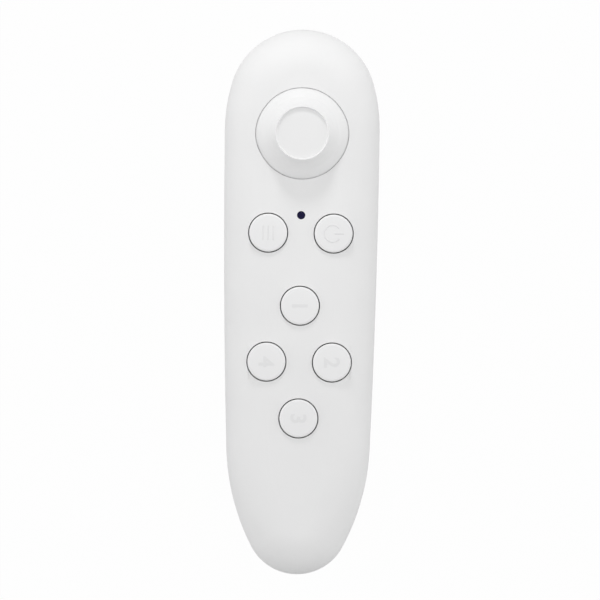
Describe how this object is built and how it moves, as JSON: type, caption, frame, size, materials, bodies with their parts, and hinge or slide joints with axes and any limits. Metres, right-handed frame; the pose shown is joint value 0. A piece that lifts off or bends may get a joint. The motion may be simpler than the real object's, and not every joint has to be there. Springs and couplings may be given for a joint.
{
  "type": "wireless game controller",
  "caption": "Handheld wireless game controller: pebble-shaped housing, tilting thumb stick, round push buttons, nose triggers and a sliding battery door.",
  "frame": {"origin": "middle of the flat back, under the centre of the overall box", "axes": "+Z out of the face with the stick and buttons, +Y towards the head with the stick and triggers, +X to the right as the face is seen"},
  "size_m": [0.0372, 0.131, 0.0271],
  "materials": {
    "white_plastic": "fine matt moulding",
    "button_plastic": "fine matt moulding",
    "stick_plastic": "soft matt coating",
    "post_nylon": "natural nylon",
    "dome_rubber": "matt silicone",
    "circuit_board": "solder mask over glass fibre",
    "chip_black": "matt moulding",
    "sensor_black": "matt moulding",
    "switch_black": "matt moulding",
    "connector_cream": "matt moulding",
    "ribbon_film": "glossy film over flat conductors",
    "led_white": "clear cast",
    "lens_dark": "dark tinted, polished",
    "frame_steel": "plated sheet",
    "screw_steel": "zinc plated",
    "contact_metal": "nickel plated",
    "cell_jacket": "printed jacket over metal"
  },
  "bodies": {
    "housing": {"top_shell": "white_plastic", "bottom_shell": "white_plastic", "housing_screws": "screw_steel", "key_board": "circuit_board", "radio_chip": "chip_black", "crystal": "contact_metal", "board_passives": "chip_black", "status_led": "led_white", "led_lens": "lens_dark", "stick_board": "circuit_board", "key_connector": "connector_cream", "stick_connector": "connector_cream", "board_ribbon": "ribbon_film", "gimbal_frame": "frame_steel", "sensor_x": "sensor_black", "sensor_y": "sensor_black", "upper_switch": "switch_black", "lower_switch": "switch_black", "cell_left": "cell_jacket", "cell_right": "cell_jacket", "contact_positive": "contact_metal", "contact_negative": "contact_metal", "contact_link": "contact_metal", "dome_power": "dome_rubber", "dome_mode": "dome_rubber", "dome_top": "dome_rubber", "dome_left": "dome_rubber", "dome_right": "dome_rubber", "dome_bottom": "dome_rubber"},
    "door": {"battery_door": "white_plastic"},
    "button_power": {"button_power": "button_plastic"},
    "button_mode": {"button_mode": "button_plastic"},
    "button_top": {"button_top": "button_plastic"},
    "button_left": {"button_left": "button_plastic"},
    "button_right": {"button_right": "button_plastic"},
    "button_bottom": {"button_bottom": "button_plastic"},
    "rocker_x": {"rocker_x": "post_nylon", "wiper_x": "contact_metal"},
    "stick": {"stick_cap": "stick_plastic", "stick_post": "post_nylon"},
    "rocker_y": {"rocker_y": "post_nylon", "wiper_y": "contact_metal"},
    "upper_trigger": {"upper_trigger": "white_plastic", "upper_plunger": "post_nylon"},
    "lower_trigger": {"lower_trigger": "white_plastic", "lower_plunger": "post_nylon"}
  },
  "joints": [
    {"name": "door_slide", "type": "slide", "parent": "housing", "child": "door", "axis": [0, -1, 0], "range_m": [0, 0.042]},
    {"name": "button_power_press", "type": "slide", "parent": "housing", "child": "button_power", "axis": [0, 0, -1], "range_m": [0, 0.001], "stiffness_N_per_m": 900, "springref_m": -0.0004, "deforming": ["dome_power"]},
    {"name": "button_mode_press", "type": "slide", "parent": "housing", "child": "button_mode", "axis": [0, 0, -1], "range_m": [0, 0.001], "stiffness_N_per_m": 900, "springref_m": -0.0004, "deforming": ["dome_mode"]},
    {"name": "button_top_press", "type": "slide", "parent": "housing", "child": "button_top", "axis": [0, 0, -1], "range_m": [0, 0.001], "stiffness_N_per_m": 900, "springref_m": -0.0004, "deforming": ["dome_top"]},
    {"name": "button_left_press", "type": "slide", "parent": "housing", "child": "button_left", "axis": [0, 0, -1], "range_m": [0, 0.001], "stiffness_N_per_m": 900, "springref_m": -0.0004, "deforming": ["dome_left"]},
    {"name": "button_right_press", "type": "slide", "parent": "housing", "child": "button_right", "axis": [0, 0, -1], "range_m": [0, 0.001], "stiffness_N_per_m": 900, "springref_m": -0.0004, "deforming": ["dome_right"]},
    {"name": "button_bottom_press", "type": "slide", "parent": "housing", "child": "button_bottom", "axis": [0, 0, -1], "range_m": [0, 0.001], "stiffness_N_per_m": 900, "springref_m": -0.0004, "deforming": ["dome_bottom"]},
    {"name": "stick_tilt_to_head", "type": "hinge", "parent": "housing", "child": "rocker_x", "pos_m": [0, 0.0404, 0.0144], "axis": [-1, 0, 0], "range_deg": [-15, 15], "stiffness_Nm_per_rad": 0.05},
    {"name": "stick_tilt_to_right", "type": "hinge", "parent": "rocker_x", "child": "stick", "pos_m": [0, 0.0404, 0.0144], "axis": [0, 1, 0], "range_deg": [-15, 15], "stiffness_Nm_per_rad": 0.05},
    {"name": "rocker_y_turn", "type": "hinge", "parent": "housing", "child": "rocker_y", "pos_m": [0, 0.0404, 0.0144], "axis": [0, 1, 0], "range_deg": [-15, 15]},
    {"name": "upper_trigger_press", "type": "slide", "parent": "housing", "child": "upper_trigger", "axis": [0, -1, 0], "range_m": [0, 0.0006], "stiffness_N_per_m": 3000, "springref_m": -0.0002},
    {"name": "lower_trigger_press", "type": "slide", "parent": "housing", "child": "lower_trigger", "axis": [0, -1, 0], "range_m": [0, 0.0006], "stiffness_N_per_m": 3000, "springref_m": -0.0002}
  ],
  "couplings": [
    {"joint": "rocker_y_turn", "follows": "stick_tilt_to_right", "ratio": 1}
  ]
}
